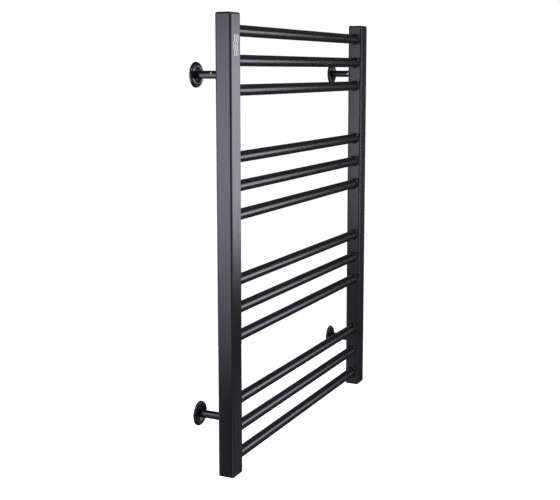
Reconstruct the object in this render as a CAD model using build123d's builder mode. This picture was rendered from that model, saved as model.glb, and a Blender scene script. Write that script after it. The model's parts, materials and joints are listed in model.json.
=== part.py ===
from build123d import *
import os

# Wall-mounted ladder towel warmer for a hot-water circuit: two box-section posts carry the
# water up each side, round bars run between them, and four adjustable brackets hold it
# off the wall. All sizes are in millimetres.
#
# X runs across the width, with the left post on -X. -Y faces the room and +Y the wall.
# +Z is up. The origin lies on the wall plane, at the centre of the fixing holes.

# Overall rail
HEIGHT = 800.0
POST_SPACING = 600.0
WALL_TO_POST_BACK = 47.0

# Box-section posts
POST_WIDTH = 36.0
POST_DEPTH = 30.0
POST_CORNER = 3.5
POST_WALL = 1.5

# Heating bars, in four groups of three, measured from mid-height
BAR_RADIUS = 10.0
BAR_WALL = 1.2
BAR_ENTRY = 3.0
BAR_HOLE_GAP = 0.05
BAR_PITCH = 50.0
BARS_IN_GROUP = 3
GROUP_CENTRES = (321.0, 107.0, -107.0, -321.0)

# Weld bead around each bar where it meets a post
BEAD_SIZE = 1.8
BEAD_GAP = 0.02

# Post ends: a plain cap on top, and a block with a water port below
CAP_HEIGHT = 5.0
PORT_BLOCK_HEIGHT = 16.0
END_ROUND = 3.4
LOCATING_STEP = 3.0
LOCATING_GAP = 0.1
PORT_RADIUS = 9.3
PORT_CHAMFER = 1.2

# Wall brackets, one behind each post near each end
BRACKET_HEIGHT = 297.0
SPIGOT_RADIUS = 4.0
SPIGOT_LENGTH = 30.0
SPIGOT_TIP_CHAMFER = 0.8
COLLAR_RADIUS = 6.3
COLLAR_LENGTH = 1.4
SLEEVE_RADIUS = 7.0
SLEEVE_END_GAP = 0.1
SLEEVE_BORE_DEPTH = 31.5
SLEEVE_EDGE = 0.4
RUNNING_GAP = 0.05

# Wall flange, a low dome with a shallow conical dish around the stem and a flat back.
# Depths are measured from the wall plane towards the room.
FLANGE_RADIUS = 22.0
RIM_DEPTH = 1.0
CREST_RADIUS = 14.2
CREST_DEPTH = 4.6
CREST_ROUND = 1.5
DOME_ROUND = 60.0
DOME_SWEEP = 4.0
DISH_SLOPE = 18.0
FLOOR_DEPTH = 2.6
FLANGE_BORE_RADIUS = 2.7
HEAD_RECESS_RADIUS = 5.0
HEAD_RECESS_DEPTH = 1.4
FIXING_CIRCLE_RADIUS = 10.2
FIXING_HOLE_RADIUS = 2.0
FIXING_HOLE_COUNT = 3

# Screw that holds a flange to its sleeve from the wall side
RETAINER_RADIUS = 2.45
RETAINER_HEAD_RADIUS = 4.5
RETAINER_HEAD_DEPTH = 1.1
RETAINER_LENGTH = 8.5
RETAINER_SOCKET = 3.0
RETAINER_SOCKET_DEPTH = 1.5
RETAINER_HEAD_EDGE = 0.3
THREAD_GAP = 0.05

# Set screw that locks a sleeve on its spigot
SET_SCREW_RADIUS = 2.45
SET_SCREW_SOCKET = 2.5
SET_SCREW_SOCKET_DEPTH = 1.6
SET_SCREW_STAND = 0.4
SET_SCREW_ROUND = 0.8
SET_SCREW_TIP_CHAMFER = 0.35
SET_SCREW_TIP_GAP = 0.05

# Air vent on the back of the right post, level with the top of the water space
VENT_HEIGHT = 380.0
VENT_HEAD_RADIUS = 7.0
VENT_HEAD_DEPTH = 2.6
VENT_HEAD_CHAMFER = 0.6
VENT_SHANK_RADIUS = 4.8
VENT_SHANK_LENGTH = 9.0
VENT_BORE_RADIUS = 2.5
VENT_SCREW_RADIUS = 2.45
VENT_SCREW_LENGTH = 8.0
VENT_SCREW_RECESS = 0.4
VENT_SCREW_SLOT = 0.9
VENT_SCREW_SLOT_DEPTH = 1.0
VENT_OUTLET_RADIUS = 0.6
VENT_OUTLET_PLACE = 4.2
VENT_OUTLET_DEPTH = 0.9
SEAL_SECTION_RADIUS = 0.75
SEAL_RING_RADIUS = 5.8
SEAL_GAP = 0.02

# Places worked out from the sizes above
SIDES = {"left": -1, "right": 1}
POST_X = POST_SPACING / 2
POST_BACK_Y = -WALL_TO_POST_BACK
POST_Y = POST_BACK_Y - POST_DEPTH / 2
INNER_FACE_X = POST_X - POST_WIDTH / 2
POST_BORE_WIDTH = POST_WIDTH - 2 * POST_WALL
POST_BORE_DEPTH = POST_DEPTH - 2 * POST_WALL
POST_BORE_CORNER = POST_CORNER - POST_WALL
STEP_WIDTH = POST_BORE_WIDTH - 2 * LOCATING_GAP
STEP_DEPTH = POST_BORE_DEPTH - 2 * LOCATING_GAP
TUBE_BOTTOM = -HEIGHT / 2 + PORT_BLOCK_HEIGHT
TUBE_TOP = HEIGHT / 2 - CAP_HEIGHT
BAR_LENGTH = 2 * (INNER_FACE_X + BAR_ENTRY)
BAR_OFFSETS = [BAR_PITCH * (1 - step) for step in range(BARS_IN_GROUP)]
BAR_HEIGHTS = [centre + offset for centre in GROUP_CENTRES for offset in BAR_OFFSETS]
SLEEVE_START_Y = POST_BACK_Y + COLLAR_LENGTH + SLEEVE_END_GAP
SLEEVE_END_Y = -FLOOR_DEPTH - RUNNING_GAP
SLEEVE_LENGTH = SLEEVE_END_Y - SLEEVE_START_Y
SLEEVE_BORE_RADIUS = SPIGOT_RADIUS + RUNNING_GAP
VENT_PLACE = (POST_X, POST_BACK_Y, VENT_HEIGHT)

# Each bracket: side, height, how far behind the post its set screw sits, the way that
# screw points in the XZ plane, and where its first fixing hole lies. Angles run from +X
# towards +Z. The fixing holes start on the side nearest the middle of the rail.
BRACKETS = {
    "upper_left": {"side": -1, "level": 1, "set_screw_back": 14.5, "set_screw_angle": 150.0},
    "upper_right": {"side": 1, "level": 1, "set_screw_back": 5.0, "set_screw_angle": 180.0},
    "lower_left": {"side": -1, "level": -1, "set_screw_back": 12.0, "set_screw_angle": 270.0},
    "lower_right": {"side": 1, "level": -1, "set_screw_back": 12.0, "set_screw_angle": 270.0},
}


def save(piece, name):
    """Label a finished piece and write it to its own file."""
    piece.part.label = name
    export_step(piece.part, f"parts/{name}.step")


def facing_wall(x, y, z):
    """Plane at a point, looking towards the wall."""
    return Plane(origin=(x, y, z), x_dir=(-1, 0, 0), z_dir=(0, 1, 0))


def facing_room(x, y, z):
    """Plane at a point, looking towards the room, with local x on +X and local y on +Z."""
    return Plane(origin=(x, y, z), x_dir=(1, 0, 0), z_dir=(0, -1, 0))


def upright(x, z):
    """Plane at a height on a post's centre line, looking up."""
    return Plane(origin=(x, POST_Y, z), x_dir=(1, 0, 0), z_dir=(0, 0, 1))


def along_bars(x, z):
    """Plane across the bars, looking along +X, with local x on +Z."""
    return Plane(origin=(x, POST_Y, z), x_dir=(0, 0, 1), z_dir=(1, 0, 0))


def make_post(side_name, side):
    """Box-section tube with a hole in its inner wall for each bar."""
    with BuildPart() as post:
        with BuildSketch(upright(side * POST_X, TUBE_BOTTOM)):
            RectangleRounded(POST_WIDTH, POST_DEPTH, POST_CORNER)
            RectangleRounded(POST_BORE_WIDTH, POST_BORE_DEPTH, POST_BORE_CORNER, mode=Mode.SUBTRACT)
        extrude(amount=TUBE_TOP - TUBE_BOTTOM)
        with BuildSketch(along_bars(side * INNER_FACE_X, 0)):
            with Locations(*[(height, 0) for height in BAR_HEIGHTS]):
                Circle(BAR_RADIUS + BAR_HOLE_GAP)
        extrude(amount=side * POST_WALL, mode=Mode.SUBTRACT)
        if side > 0:
            with BuildSketch(facing_room(*VENT_PLACE)):
                Circle(VENT_SHANK_RADIUS + THREAD_GAP)
            extrude(amount=POST_WALL, mode=Mode.SUBTRACT)
    save(post, f"{side_name}_post")


def make_top_cap(side_name, side):
    """Plate that closes the top of a post, with its upper edges rounded."""
    with BuildPart() as cap:
        with BuildSketch(upright(side * POST_X, TUBE_TOP)):
            RectangleRounded(POST_WIDTH, POST_DEPTH, POST_CORNER)
        extrude(amount=CAP_HEIGHT)
        fillet(cap.faces().sort_by(Axis.Z)[-1].edges(), END_ROUND)
        with BuildSketch(upright(side * POST_X, TUBE_TOP)):
            RectangleRounded(STEP_WIDTH, STEP_DEPTH, POST_BORE_CORNER)
        extrude(amount=-LOCATING_STEP)
    save(cap, f"{side_name}_top_cap")


def make_port_block(side_name, side):
    """Block that closes the bottom of a post and takes the threaded water pipe."""
    with BuildPart() as block:
        with BuildSketch(upright(side * POST_X, TUBE_BOTTOM)):
            RectangleRounded(POST_WIDTH, POST_DEPTH, POST_CORNER)
        extrude(amount=-PORT_BLOCK_HEIGHT)
        fillet(block.faces().sort_by(Axis.Z)[0].edges(), END_ROUND)
        with BuildSketch(upright(side * POST_X, TUBE_BOTTOM)):
            RectangleRounded(STEP_WIDTH, STEP_DEPTH, POST_BORE_CORNER)
        extrude(amount=LOCATING_STEP)
        with BuildSketch(upright(side * POST_X, -HEIGHT / 2)):
            Circle(PORT_RADIUS)
        extrude(amount=PORT_BLOCK_HEIGHT + LOCATING_STEP, mode=Mode.SUBTRACT)
        mouth = block.faces().sort_by(Axis.Z)[0].inner_wires().edges()
        chamfer(mouth, PORT_CHAMFER)
    save(block, f"{side_name}_port_block")


def make_bar(number, height):
    """Round tube that runs into both posts."""
    with BuildPart() as bar:
        with BuildSketch(along_bars(-BAR_LENGTH / 2, height)):
            Circle(BAR_RADIUS)
            Circle(BAR_RADIUS - BAR_WALL, mode=Mode.SUBTRACT)
        extrude(amount=BAR_LENGTH)
    save(bar, f"bar_{number:02d}")


def make_weld_beads(side_name, side):
    """Ring of weld around each bar, on the inner face of one post."""
    inner = BAR_RADIUS + BEAD_GAP
    outer = BAR_RADIUS + BEAD_SIZE
    with BuildPart() as beads:
        for height in BAR_HEIGHTS:
            root = (side * INNER_FACE_X, POST_Y, height)
            with BuildSketch(Plane(origin=root, x_dir=(-side, 0, 0), z_dir=(0, -side, 0))):
                with BuildLine():
                    Line((0, inner), (0, outer))
                    RadiusArc((0, outer), (BEAD_SIZE, inner), BEAD_SIZE * 1.3)
                    Line((BEAD_SIZE, inner), (0, inner))
                make_face()
            revolve(axis=Axis(root, (1, 0, 0)))
    save(beads, f"{side_name}_weld_beads")


def make_spigot(name, x, z):
    """Stud welded to the back of a post, with a collar at its root."""
    with BuildPart() as spigot:
        with BuildSketch(facing_wall(x, POST_BACK_Y, z)):
            Circle(COLLAR_RADIUS)
        extrude(amount=COLLAR_LENGTH)
        with BuildSketch(facing_wall(x, POST_BACK_Y, z)):
            Circle(SPIGOT_RADIUS)
        extrude(amount=SPIGOT_LENGTH)
        chamfer(spigot.edges().filter_by(GeomType.CIRCLE).sort_by(Axis.Y)[-1], SPIGOT_TIP_CHAMFER)
    save(spigot, f"{name}_spigot")


def set_screw_plane(x, z, bracket):
    """Plane on a sleeve's axis, looking the way the bracket's set screw points."""
    pointing = Vector(1, 0, 0).rotate(Axis.Y, -bracket["set_screw_angle"])
    place = (x, POST_BACK_Y + bracket["set_screw_back"], z)
    return Plane(origin=place, x_dir=(0, 1, 0), z_dir=pointing)


def make_sleeve(name, x, z, bracket):
    """Round stem that slides on the spigot and carries the flange at its wall end."""
    with BuildPart() as sleeve:
        with BuildSketch(facing_wall(x, SLEEVE_START_Y, z)):
            Circle(SLEEVE_RADIUS)
        extrude(amount=SLEEVE_LENGTH)
        chamfer(sleeve.edges().filter_by(GeomType.CIRCLE), SLEEVE_EDGE)
        with BuildSketch(facing_wall(x, SLEEVE_START_Y, z)):
            Circle(SLEEVE_BORE_RADIUS)
        extrude(amount=SLEEVE_BORE_DEPTH, mode=Mode.SUBTRACT)
        with BuildSketch(facing_room(x, SLEEVE_END_Y, z)):
            Circle(RETAINER_RADIUS + THREAD_GAP)
        extrude(amount=RETAINER_LENGTH, mode=Mode.SUBTRACT)
        with BuildSketch(set_screw_plane(x, z, bracket)):
            Circle(SET_SCREW_RADIUS + THREAD_GAP)
        extrude(amount=SLEEVE_RADIUS + 1, mode=Mode.SUBTRACT)
    save(sleeve, f"{name}_sleeve")


def make_set_screw(name, x, z, bracket):
    """Headless screw with a hexagon socket, its rounded outer end a little proud of the sleeve."""
    tip = SPIGOT_RADIUS + SET_SCREW_TIP_GAP
    outer_end = SLEEVE_RADIUS + SET_SCREW_STAND
    axis_plane = set_screw_plane(x, z, bracket)
    along_screw = Axis(axis_plane.origin, axis_plane.z_dir)
    with BuildPart() as screw:
        with BuildSketch(axis_plane.offset(tip)):
            Circle(SET_SCREW_RADIUS)
        extrude(amount=outer_end - tip)
        fillet(screw.edges().filter_by(GeomType.CIRCLE).sort_by(along_screw)[-1], SET_SCREW_ROUND)
        chamfer(screw.edges().filter_by(GeomType.CIRCLE).sort_by(along_screw)[0], SET_SCREW_TIP_CHAMFER)
        with BuildSketch(axis_plane.offset(outer_end)):
            RegularPolygon(SET_SCREW_SOCKET / 2, 6, major_radius=False)
        extrude(amount=-SET_SCREW_SOCKET_DEPTH, mode=Mode.SUBTRACT)
    save(screw, f"{name}_set_screw")


def make_flange(name, x, z, level):
    """Domed round wall plate with a shallow dish, fixing holes and a recess behind for a screw head."""
    with BuildPart() as flange:
        with BuildSketch(Plane(origin=(x, 0, z), x_dir=(1, 0, 0), z_dir=(0, 0, -1))):
            with BuildLine():
                dome = JernArc((CREST_RADIUS, CREST_DEPTH), (1, 0), DOME_ROUND, -DOME_SWEEP)
                TangentArc(dome @ 1, (FLANGE_RADIUS, RIM_DEPTH), tangent=dome % 1)
                Polyline(
                    (FLANGE_RADIUS, RIM_DEPTH),
                    (FLANGE_RADIUS, 0),
                    (HEAD_RECESS_RADIUS, 0),
                    (HEAD_RECESS_RADIUS, HEAD_RECESS_DEPTH),
                    (FLANGE_BORE_RADIUS, HEAD_RECESS_DEPTH),
                    (FLANGE_BORE_RADIUS, FLOOR_DEPTH),
                )
                crest = JernArc((CREST_RADIUS, CREST_DEPTH), (-1, 0), CREST_ROUND, DISH_SLOPE)
                slope = PolarLine(
                    crest @ 1,
                    (crest @ 1).Y - FLOOR_DEPTH,
                    direction=crest % 1,
                    length_mode=LengthMode.VERTICAL,
                )
                Line(slope @ 1, (FLANGE_BORE_RADIUS, FLOOR_DEPTH))
            make_face()
        revolve(axis=Axis((x, 0, z), (0, 1, 0)))
        first_hole = -90 * level
        with BuildSketch(facing_room(x, 0, z)):
            with PolarLocations(FIXING_CIRCLE_RADIUS, FIXING_HOLE_COUNT, start_angle=first_hole):
                Circle(FIXING_HOLE_RADIUS)
        extrude(amount=CREST_DEPTH, mode=Mode.SUBTRACT)
    save(flange, f"{name}_flange")


def make_retainer(name, x, z):
    """Socket screw through the flange floor into the end of the sleeve."""
    head_front = -HEAD_RECESS_DEPTH + RUNNING_GAP
    with BuildPart() as screw:
        with BuildSketch(facing_wall(x, head_front, z)):
            Circle(RETAINER_HEAD_RADIUS)
        extrude(amount=RETAINER_HEAD_DEPTH)
        chamfer(screw.edges().filter_by(GeomType.CIRCLE).sort_by(Axis.Y)[-1], RETAINER_HEAD_EDGE)
        with BuildSketch(facing_room(x, head_front, z)):
            Circle(RETAINER_RADIUS)
        extrude(amount=RETAINER_LENGTH)
        with BuildSketch(facing_room(x, head_front + RETAINER_HEAD_DEPTH, z)):
            RegularPolygon(RETAINER_SOCKET / 2, 6, major_radius=False)
        extrude(amount=RETAINER_SOCKET_DEPTH, mode=Mode.SUBTRACT)
    save(screw, f"{name}_flange_screw")


def make_vent_body():
    """Low round plug screwed into the post, bored for the bleed screw."""
    x, y, z = VENT_PLACE
    with BuildPart() as body:
        with BuildSketch(facing_wall(x, y, z)):
            Circle(VENT_HEAD_RADIUS)
        extrude(amount=VENT_HEAD_DEPTH)
        chamfer(body.edges().filter_by(GeomType.CIRCLE).sort_by(Axis.Y)[-1], VENT_HEAD_CHAMFER)
        with BuildSketch(facing_room(x, y, z)):
            Circle(VENT_SHANK_RADIUS)
        extrude(amount=VENT_SHANK_LENGTH)
        with BuildSketch(facing_wall(x, y, z)):
            groove_half = SEAL_SECTION_RADIUS + SEAL_GAP
            Circle(SEAL_RING_RADIUS + groove_half)
            Circle(SEAL_RING_RADIUS - groove_half, mode=Mode.SUBTRACT)
        extrude(amount=2 * (SEAL_SECTION_RADIUS + SEAL_GAP), mode=Mode.SUBTRACT)
        with BuildSketch(facing_room(x, y + VENT_HEAD_DEPTH, z)):
            Circle(VENT_BORE_RADIUS)
        extrude(amount=VENT_HEAD_DEPTH + VENT_SHANK_LENGTH, mode=Mode.SUBTRACT)
        with BuildSketch(facing_room(x, y + VENT_HEAD_DEPTH, z)):
            with Locations((0, -VENT_OUTLET_PLACE)):
                Circle(VENT_OUTLET_RADIUS)
        extrude(amount=VENT_OUTLET_DEPTH, mode=Mode.SUBTRACT)
    save(body, "air_vent_body")


def make_vent_seal():
    """Rubber ring in a groove under the vent's head."""
    x, y, z = VENT_PLACE
    seal_plane = Plane(origin=(x, y, z), x_dir=(1, 0, 0), z_dir=(0, 0, 1))
    with BuildPart() as seal:
        with BuildSketch(seal_plane):
            with Locations((SEAL_RING_RADIUS, SEAL_SECTION_RADIUS + SEAL_GAP)):
                Circle(SEAL_SECTION_RADIUS)
        revolve(axis=Axis((x, y, z), (0, 1, 0)))
    save(seal, "air_vent_seal")


def make_vent_screw():
    """Slotted screw that opens the vent."""
    x, y, z = VENT_PLACE
    outer_end = y + VENT_HEAD_DEPTH - VENT_SCREW_RECESS
    with BuildPart() as screw:
        with BuildSketch(facing_room(x, outer_end, z)):
            Circle(VENT_SCREW_RADIUS)
        extrude(amount=VENT_SCREW_LENGTH)
        with BuildSketch(facing_room(x, outer_end, z)):
            Rectangle(2 * VENT_SCREW_RADIUS + 1, VENT_SCREW_SLOT)
        extrude(amount=VENT_SCREW_SLOT_DEPTH, mode=Mode.SUBTRACT)
    save(screw, "air_vent_screw")


def make_bracket(name, bracket):
    """Every piece of one wall bracket."""
    x = bracket["side"] * POST_X
    z = bracket["level"] * BRACKET_HEIGHT
    make_spigot(name, x, z)
    make_sleeve(name, x, z, bracket)
    make_set_screw(name, x, z, bracket)
    make_flange(name, x, z, bracket["level"])
    make_retainer(name, x, z)


os.makedirs("parts", exist_ok=True)

for side_name, side in SIDES.items():
    make_post(side_name, side)
    make_top_cap(side_name, side)
    make_port_block(side_name, side)
    make_weld_beads(side_name, side)

for number, height in enumerate(BAR_HEIGHTS, start=1):
    make_bar(number, height)

for name, bracket in BRACKETS.items():
    make_bracket(name, bracket)

make_vent_body()
make_vent_seal()
make_vent_screw()
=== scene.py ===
import json
import math

import bmesh
import bpy
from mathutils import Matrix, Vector


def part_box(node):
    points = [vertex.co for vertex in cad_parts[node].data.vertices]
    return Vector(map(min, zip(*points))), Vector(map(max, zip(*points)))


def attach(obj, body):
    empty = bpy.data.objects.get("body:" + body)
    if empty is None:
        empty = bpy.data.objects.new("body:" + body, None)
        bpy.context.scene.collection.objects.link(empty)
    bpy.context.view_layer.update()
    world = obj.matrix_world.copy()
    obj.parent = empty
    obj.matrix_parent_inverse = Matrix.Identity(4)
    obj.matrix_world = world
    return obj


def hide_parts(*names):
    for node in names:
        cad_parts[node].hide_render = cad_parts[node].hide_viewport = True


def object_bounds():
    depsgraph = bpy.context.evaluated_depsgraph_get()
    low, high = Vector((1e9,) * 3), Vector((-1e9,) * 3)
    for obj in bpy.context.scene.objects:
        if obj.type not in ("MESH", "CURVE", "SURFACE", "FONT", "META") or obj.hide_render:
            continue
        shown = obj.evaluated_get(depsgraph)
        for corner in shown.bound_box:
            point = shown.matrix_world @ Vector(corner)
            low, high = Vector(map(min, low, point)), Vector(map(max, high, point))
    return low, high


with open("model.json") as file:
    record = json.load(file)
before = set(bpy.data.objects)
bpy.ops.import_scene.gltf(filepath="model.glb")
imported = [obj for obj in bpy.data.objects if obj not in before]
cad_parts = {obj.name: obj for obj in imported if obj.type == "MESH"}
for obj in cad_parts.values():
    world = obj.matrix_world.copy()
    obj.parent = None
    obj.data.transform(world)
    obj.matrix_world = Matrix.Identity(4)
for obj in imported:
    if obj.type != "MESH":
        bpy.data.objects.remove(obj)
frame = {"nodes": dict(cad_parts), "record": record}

# Towel warmer rack: looks, light and camera around the CAD frame. Metres, +Z up, the
# room on -Y and the wall on +Y.

CAD_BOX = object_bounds()
MM = 0.001
QUARTER_TURN = math.pi / 2
NOISE_LOW, NOISE_HIGH = 0.3, 0.7     # where most of a noise's values lie

# Weld beads
BEAD_STEPS = 144             # cross-sections round a bar
BEAD_ARC_STEPS = 6           # steps across the bead's convex face
BEAD_BITE = 0.15 * MM        # how far the bead's root sinks into the post and the bar
BEAD_PASSES = 34             # ripples round a bar
BEAD_RIPPLE = 0.03           # swing of the ripples, as a share of the bead's size
BEAD_UNEVEN = 1.5            # how far the ripples bunch up, in radians of one ripple
BEAD_BUNCHES = 3             # times they bunch up round a bar
BEAD_WANDER = 0.05           # swing of the slow change in size, as a share of the size
BEAD_WANDER_WAVES = ((2, 1.0, 1.0), (5, 0.6, 2.3))   # waves round a bar, strength, phase factor
BEAD_PHASE_STEP = 1.7        # change of phase from bar to bar, so that no two beads are alike

# Printed heat symbol: three upright waves on the front of the left post
SYMBOL_BELOW_TOP = 49 * MM   # from the post's top to the symbol's middle
SYMBOL_HEIGHT = 36 * MM
WAVE_PITCH = 6.2 * MM
WAVE_SWING = 1.5 * MM
WAVE_HALF_WIDTH = 1.25 * MM
WAVE_HALF_PERIODS = 3
WAVE_STEPS = 72
PRINT_THICKNESS = 0.12 * MM  # what stands out of the post; the plate goes as far into it

# Light colours
PALE_BLUE = (0.96, 0.96, 1.12)
FAINT_BLUE = (0.98, 0.975, 1.075)
KEY_SPREAD = math.radians(90)

# Floor and surroundings
FLOOR_DROP = 0.45            # below the rack, which hangs on a wall
FLOOR_SIZE = 60.0
WHITE = (1, 1, 1, 1)
PALE_GREY = (0.8, 0.8, 0.8, 1)
ROOM_TINT = (0.97, 0.98, 1.03, 1)
ROOM_GREY = 0.065

# Camera: stands to the left of the rack, on the room's side and above mid-height.
CAMERA_PLACE = (-1.8290, -0.8800, 0.3043)
CAMERA_YAW = math.radians(64.72)
CAMERA_DOWN = math.radians(7.95)
CAMERA_LENS_MM = 66.15
CAMERA_SENSOR_MM = 36.0
CAMERA_SHIFT_Y = -0.064
CAMERA_REACH = 200.0         # far enough to see the floor to its edge


def node(tree, kind, inputs=None, **settings):
    """Add a shader node. An input is either a value or another node's output socket."""
    made = tree.nodes.new(kind)
    for key, value in settings.items():
        setattr(made, key, value)
    for key, value in (inputs or {}).items():
        if isinstance(value, bpy.types.NodeSocket):
            tree.links.new(value, made.inputs[key])
        else:
            made.inputs[key].default_value = value
    return made


def new_material(name, **sockets):
    """A material whose shader sockets are set by name, with spaces written as underscores."""
    material = bpy.data.materials.new(name)
    material.use_nodes = True
    shader = material.node_tree.nodes["Principled BSDF"]
    for key, value in sockets.items():
        shader.inputs[key.replace("_", " ")].default_value = value
    return material, material.node_tree, shader


def noise(tree, where, scale, detail, roughness=0.5):
    """Noise whose features are about 1 / scale metres across."""
    sockets = {"Vector": where, "Scale": scale, "Detail": detail, "Roughness": roughness}
    return node(tree, "ShaderNodeTexNoise", sockets).outputs["Fac"]


def spread(tree, factor, low, high):
    """Stretch the middle of a noise's range onto low to high."""
    sockets = {
        "Value": factor,
        "From Min": NOISE_LOW,
        "From Max": NOISE_HIGH,
        "To Min": low,
        "To Max": high,
    }
    return node(tree, "ShaderNodeMapRange", sockets).outputs["Result"]


def blend_colours(tree, factor, first, second):
    """Colour that runs from first to second as the noise rises."""
    mix = node(tree, "ShaderNodeMix", data_type="RGBA")
    tree.links.new(spread(tree, factor, 0.0, 1.0), mix.inputs["Factor"])
    mix.inputs["A"].default_value = (*first, 1)
    mix.inputs["B"].default_value = (*second, 1)
    return mix.outputs["Result"]


def bump(tree, height, depth, below=None):
    """Bump of a real depth in metres, on top of another bump if one is given."""
    sockets = {"Height": height, "Distance": depth, "Strength": 1.0}
    if below is not None:
        sockets["Normal"] = below
    return node(tree, "ShaderNodeBump", sockets).outputs["Normal"]


def powder_coat():
    """Satin black powder coat: soft orange peel, a fine grain, slight gloss changes."""
    material, tree, shader = new_material("powder_coat", IOR=1.5)
    where = node(tree, "ShaderNodeTexCoord").outputs["Object"]
    drift = noise(tree, where, scale=9.0, detail=2.0)
    peel = noise(tree, where, scale=520.0, detail=2.0)
    grain = noise(tree, where, scale=2300.0, detail=3.0, roughness=0.6)
    colour = blend_colours(tree, drift, (0.006, 0.0061, 0.0070), (0.009, 0.0091, 0.0105))
    waves = bump(tree, peel, depth=0.003 * MM)
    tree.links.new(colour, shader.inputs["Base Color"])
    tree.links.new(spread(tree, grain, 0.20, 0.24), shader.inputs["Roughness"])
    tree.links.new(bump(tree, grain, depth=0.0004 * MM, below=waves), shader.inputs["Normal"])
    return material


def mottled(name, patches, tints, grain, gloss, relief, **sockets):
    """A finish whose tint drifts in patches, and whose gloss and relief follow a finer grain.

    patches and grain are noise settings, tints two colours, gloss a range of roughness and
    relief a depth.
    """
    material, tree, shader = new_material(name, **sockets)
    where = node(tree, "ShaderNodeTexCoord").outputs["Object"]
    coarse = noise(tree, where, **patches)
    fine = noise(tree, where, **grain)
    tree.links.new(blend_colours(tree, coarse, *tints), shader.inputs["Base Color"])
    tree.links.new(spread(tree, fine, *gloss), shader.inputs["Roughness"])
    tree.links.new(bump(tree, fine, relief), shader.inputs["Normal"])
    return material


def bare_steel():
    """Turned steel with fine scratches and a few darker patches of oil."""
    return mottled(
        "bare_steel",
        patches={"scale": 700.0, "detail": 2.0},
        tints=((0.62, 0.62, 0.63), (0.80, 0.80, 0.81)),
        grain={"scale": 9000.0, "detail": 2.0},
        gloss=(0.20, 0.38),
        relief=0.002 * MM,
        Metallic=1.0,
    )


def zinc_plate():
    """Bright zinc plate: a cold metal with a faint yellow and blue cast that drifts."""
    return mottled(
        "zinc_plate",
        patches={"scale": 260.0, "detail": 2.0},
        tints=((0.56, 0.58, 0.63), (0.66, 0.64, 0.56)),
        grain={"scale": 5200.0, "detail": 3.0},
        gloss=(0.26, 0.42),
        relief=0.003 * MM,
        Metallic=1.0,
    )


def nickel_plate():
    """Satin nickel over turned brass, a little warmer where the plate is thin."""
    return mottled(
        "nickel_plate",
        patches={"scale": 300.0, "detail": 3.0},
        tints=((0.60, 0.58, 0.53), (0.70, 0.65, 0.55)),
        grain={"scale": 6000.0, "detail": 2.0},
        gloss=(0.18, 0.30),
        relief=0.002 * MM,
        Metallic=1.0,
    )


def seal_rubber():
    """Moulded black rubber with a matt, slightly dusty skin."""
    return mottled(
        "seal_rubber",
        patches={"scale": 900.0, "detail": 3.0},
        tints=((0.012, 0.012, 0.012), (0.035, 0.034, 0.033)),
        grain={"scale": 5000.0, "detail": 3.0},
        gloss=(0.55, 0.75),
        relief=0.01 * MM,
        IOR=1.5,
    )


def printed_white():
    """Screen-printed white ink: slightly patchy cover over the black coat."""
    return mottled(
        "printed_white",
        patches={"scale": 1500.0, "detail": 3.0},
        tints=((0.84, 0.84, 0.83), (0.90, 0.90, 0.89)),
        grain={"scale": 6000.0, "detail": 2.0},
        gloss=(0.38, 0.52),
        relief=0.006 * MM,
        IOR=1.48,
    )


FINISHES = {
    "black_powder_coat": powder_coat(),
    "bright_steel": bare_steel(),
    "zinc_plated_steel": zinc_plate(),
    "nickel_plated_brass": nickel_plate(),
    "seal_rubber": seal_rubber(),
}


def paint(node_name, material):
    """Give a CAD node this material."""
    piece = frame["nodes"][node_name]
    if not piece.material_slots:
        piece.data.materials.append(None)
    for place in piece.material_slots:
        place.material = material


for part in frame["record"]["subparts"]:
    paint(part["node"], FINISHES[part["material_slot"]])


def skin(builder, sections, ring):
    """Join equal cross-sections in turn, into a closed ring or into a stroke with two ends."""
    following = sections[1:] + sections[:1] if ring else sections[1:]
    for here, there in zip(sections, following):
        for place in range(len(here)):
            after = (place + 1) % len(here)
            builder.faces.new((here[place], here[after], there[after], there[place]))
    if not ring:
        builder.faces.new(sections[0])
        builder.faces.new(sections[-1])


def mesh_piece(name, builder, material, body, smooth):
    """Turn a finished bmesh into a piece that rides on a body."""
    bmesh.ops.recalc_face_normals(builder, faces=builder.faces)
    for face in builder.faces:
        face.smooth = smooth
    data = bpy.data.meshes.new(name)
    builder.to_mesh(data)
    builder.free()
    data.materials.append(material)
    piece = bpy.data.objects.new(name, data)
    bpy.context.scene.collection.objects.link(piece)
    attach(piece, body)
    return piece


def bead_share(turn, phase):
    """A bead's size at one place round its bar, as a share of its full size."""
    bunched = BEAD_UNEVEN * math.sin(BEAD_BUNCHES * turn + phase)
    ripple = math.sin(BEAD_PASSES * turn + bunched)
    wander = sum(
        strength * math.sin(waves * turn + factor * phase)
        for waves, strength, factor in BEAD_WANDER_WAVES
    )
    wander /= sum(strength for waves, strength, factor in BEAD_WANDER_WAVES)
    return 1 - BEAD_WANDER + BEAD_RIPPLE * ripple + BEAD_WANDER * wander


def bead_profile(size):
    """One cross-section of a convex bead, as distances from the post and from the bar.

    The root is sunk into both. The face lies halfway between a flat one and a quarter circle.
    """
    profile = [(-BEAD_BITE, -BEAD_BITE)]
    for step in range(BEAD_ARC_STEPS + 1):
        part = step / BEAD_ARC_STEPS
        from_post = (part + math.sin(part * QUARTER_TURN)) / 2
        from_bar = (1 - part + math.cos(part * QUARTER_TURN)) / 2
        profile.append((size * from_post, size * from_bar))
    return profile


def bead_sections(builder, face_x, inward, centre, radius, leg, phase):
    """Cross-sections of the fillet weld round one end of a bar."""
    sections = []
    for step in range(BEAD_STEPS):
        turn = 2 * math.pi * step / BEAD_STEPS
        sections.append([
            builder.verts.new((
                face_x + inward * from_post,
                centre.y + (radius + from_bar) * math.cos(turn),
                centre.z + (radius + from_bar) * math.sin(turn),
            ))
            for from_post, from_bar in bead_profile(leg * bead_share(turn, phase))
        ])
    return sections


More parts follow.
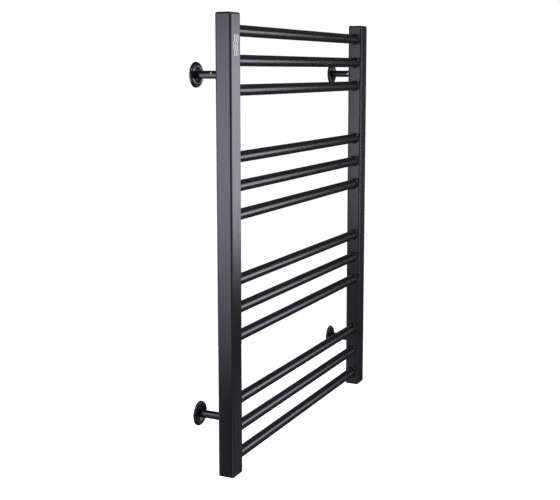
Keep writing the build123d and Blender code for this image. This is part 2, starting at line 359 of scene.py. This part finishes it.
def weld_beads(node_name):
    """Every bar's bead on one post, in place of the plain CAD rings."""
    low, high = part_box(node_name)
    inward = 1 if low.x < 0 else -1
    face_x = low.x if inward > 0 else high.x
    leg = high.x - low.x
    builder = bmesh.new()
    bars = sorted(name for name in frame["nodes"] if name.startswith("bar_"))
    for number, bar in enumerate(bars):
        bar_low, bar_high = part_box(bar)
        centre = (bar_low + bar_high) / 2
        radius = (bar_high.z - bar_low.z) / 2
        phase = BEAD_PHASE_STEP * number + inward
        sections = bead_sections(builder, face_x, inward, centre, radius, leg, phase)
        skin(builder, sections, ring=True)
    name = node_name + "_rippled"
    piece = mesh_piece(name, builder, FINISHES["black_powder_coat"], "rail", smooth=True)
    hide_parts(node_name)


weld_beads("left_weld_beads")
weld_beads("right_weld_beads")


def heat_wave(builder, centre_x, face_y, low_z):
    """One upright wavy stroke with round ends, as a thin plate half sunk into the post."""
    front_y = face_y - PRINT_THICKNESS
    back_y = face_y + PRINT_THICKNESS
    sections = []
    for step in range(1, WAVE_STEPS):
        share = (1 - math.cos(math.pi * step / WAVE_STEPS)) / 2
        end_distance = min(share, 1 - share) * SYMBOL_HEIGHT
        short = max(0.0, 1 - end_distance / WAVE_HALF_WIDTH)
        half = WAVE_HALF_WIDTH * math.sqrt(1 - short * short)
        swing = WAVE_HALF_PERIODS * math.pi * share
        slope = WAVE_SWING * WAVE_HALF_PERIODS * math.pi / SYMBOL_HEIGHT * math.cos(swing)
        length = math.hypot(1, slope)
        side_x = half / length
        side_z = -half * slope / length
        x = centre_x + WAVE_SWING * math.sin(swing)
        z = low_z + share * SYMBOL_HEIGHT
        corners = ((-1, front_y), (1, front_y), (1, back_y), (-1, back_y))
        sections.append([
            builder.verts.new((x + way * side_x, y, z + way * side_z)) for way, y in corners
        ])
    skin(builder, sections, ring=False)


def heat_symbol():
    """Three rising heat waves on the front of the left post, near its top."""
    low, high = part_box("left_post")
    centre_x = (low.x + high.x) / 2
    low_z = high.z - SYMBOL_BELOW_TOP - SYMBOL_HEIGHT / 2
    builder = bmesh.new()
    for offset in (-WAVE_PITCH, 0, WAVE_PITCH):
        heat_wave(builder, centre_x + offset, low.y, low_z)
    piece = mesh_piece("heat_symbol", builder, printed_white(), "rail", smooth=False)


heat_symbol()


def fade_ends(lamp, low_fade, high_fade):
    """Let a panel's light die away over a share of its height at each end."""
    lamp.use_nodes = True
    tree = lamp.node_tree
    across = node(tree, "ShaderNodeNewGeometry").outputs["Parametric"]
    height = node(tree, "ShaderNodeSeparateXYZ", {0: across}).outputs["Y"]
    rise = {"Value": height, "From Max": low_fade}
    fall = {"Value": height, "From Min": 1 - high_fade, "To Min": 1.0, "To Max": 0.0}
    slopes = [
        node(tree, "ShaderNodeMapRange", way, interpolation_type="SMOOTHSTEP").outputs["Result"]
        for way in (rise, fall)
    ]
    both = {0: slopes[0], 1: slopes[1]}
    share = node(tree, "ShaderNodeMath", both, operation="MULTIPLY").outputs["Value"]
    tree.links.new(share, tree.nodes["Emission"].inputs["Strength"])


def softbox(name, place, aim, size, radiance, colour, fades=None):
    """Rectangular studio light of this width and height, seen only in reflections."""
    width, height = size
    lamp = bpy.data.lights.new(name, "AREA")
    lamp.shape = "RECTANGLE"
    lamp.size = width
    lamp.size_y = height
    lamp.energy = radiance * math.pi * width * height
    lamp.color = colour
    if fades:
        fade_ends(lamp, *fades)
    holder = bpy.data.objects.new(name, lamp)
    bpy.context.scene.collection.objects.link(holder)
    holder.location = place
    holder.rotation_euler = (Vector(aim) - Vector(place)).to_track_quat("-Z", "Y").to_euler()
    holder.visible_camera = False
    return holder


def key_lights():
    """Panels that the main view sees in the posts' faces, along the bars and in the stems."""
    softbox(
        "side_key", place=(-0.75, 0.15, 0.145), aim=(0.0, 0.15, 0.145),
        size=(0.40, 1.25), radiance=3.9, colour=PALE_BLUE, fades=(0.48, 0.48),
    )
    front = softbox(
        "front_key", place=(1.25, -1.35, 0.13), aim=(0.349, -0.917, 0.13),
        size=(1.154, 1.30), radiance=0.85, colour=FAINT_BLUE, fades=(0.28, 0.38),
    )
    front.data.spread = KEY_SPREAD
    softbox(
        "low_front", place=(1.80, -1.60, -1.35), aim=(0, 0, -0.60),
        size=(1.20, 0.80), radiance=0.16, colour=FAINT_BLUE, fades=(0.30, 0.30),
    )
    softbox(
        "stem_fill", place=(-0.80, 0.80, -0.80), aim=(-0.30, 0, 0),
        size=(1.00, 0.60), radiance=1.0, colour=PALE_BLUE,
    )


def other_sides():
    """Panels that the other views see in the front, the back and the right side.

    In the main view they do nothing but light the printed symbol.
    """
    softbox(
        "high_front", place=(-0.30, -1.35, 1.35), aim=(-0.30, 0, 0.30),
        size=(2.80, 0.70), radiance=4.0, colour=FAINT_BLUE,
    )
    softbox(
        "far_front", place=(0, -3.00, -0.15), aim=(0, 0, -0.15),
        size=(1.70, 1.90), radiance=2.4, colour=FAINT_BLUE, fades=(0.40, 0.40),
    )
    softbox(
        "far_back", place=(0, 3.00, -0.15), aim=(0, 0, -0.15),
        size=(1.70, 1.90), radiance=2.4, colour=PALE_BLUE, fades=(0.40, 0.40),
    )
    softbox(
        "low_left", place=(-1.56, -1.56, -1.45), aim=(0, 0, -0.20),
        size=(1.60, 1.30), radiance=2.2, colour=FAINT_BLUE, fades=(0.30, 0.40),
    )
    softbox(
        "right_back", place=(1.56, 1.56, -0.65), aim=(0, 0, -0.10),
        size=(1.60, 1.90), radiance=3.2, colour=PALE_BLUE, fades=(0.30, 0.40),
    )
    softbox(
        "far_right", place=(3.00, 0, -0.10), aim=(0, 0, -0.10),
        size=(0.50, 1.40), radiance=1.7, colour=PALE_BLUE, fades=(0.30, 0.30),
    )


key_lights()
other_sides()


def floor():
    """Wide glowing floor below the rack, which casts neither light nor shadow on it."""
    level = CAD_BOX[0].z - FLOOR_DROP
    half = FLOOR_SIZE / 2
    corners = [(-half, -half, level), (half, -half, level), (half, half, level), (-half, half, level)]
    floor_mesh = bpy.data.meshes.new("floor")
    floor_mesh.from_pydata(corners, [], [(0, 1, 2, 3)])
    piece = bpy.data.objects.new("floor", floor_mesh)
    bpy.context.scene.collection.objects.link(piece)
    material, *_ = new_material(
        "pale_floor",
        Base_Color=PALE_GREY,
        Roughness=0.9,
        Specular_IOR_Level=0.0,
        Emission_Color=WHITE,
        Emission_Strength=1.0,
    )
    floor_mesh.materials.append(material)
    piece.visible_diffuse = False
    piece.visible_glossy = False
    piece.visible_shadow = False


floor()


def surroundings():
    """White to the camera, and a dim grey room to everything else."""
    world = bpy.data.worlds.new("studio")
    bpy.context.scene.world = world
    world.use_nodes = True
    tree = world.node_tree
    tree.nodes.clear()
    seen = node(tree, "ShaderNodeBackground", {"Color": WHITE, "Strength": 1.0})
    felt = node(tree, "ShaderNodeBackground", {"Color": ROOM_TINT, "Strength": ROOM_GREY})
    eye = node(tree, "ShaderNodeLightPath").outputs["Is Camera Ray"]
    mix = node(tree, "ShaderNodeMixShader", {0: eye, 1: felt.outputs[0], 2: seen.outputs[0]})
    node(tree, "ShaderNodeOutputWorld", {"Surface": mix.outputs[0]})


surroundings()
bpy.context.scene.view_settings.view_transform = "Standard"


def camera():
    """The photograph's view: level across, and looking slightly down."""
    data = bpy.data.cameras.new("camera")
    data.lens = CAMERA_LENS_MM
    data.sensor_width = CAMERA_SENSOR_MM
    data.shift_y = CAMERA_SHIFT_Y
    data.clip_end = CAMERA_REACH
    holder = bpy.data.objects.new("camera", data)
    bpy.context.scene.collection.objects.link(holder)
    holder.location = CAMERA_PLACE
    level = math.cos(CAMERA_DOWN)
    ahead = Vector((
        math.sin(CAMERA_YAW) * level,
        math.cos(CAMERA_YAW) * level,
        -math.sin(CAMERA_DOWN),
    ))
    holder.rotation_euler = ahead.to_track_quat("-Z", "Y").to_euler()
    bpy.context.scene.camera = holder


camera()
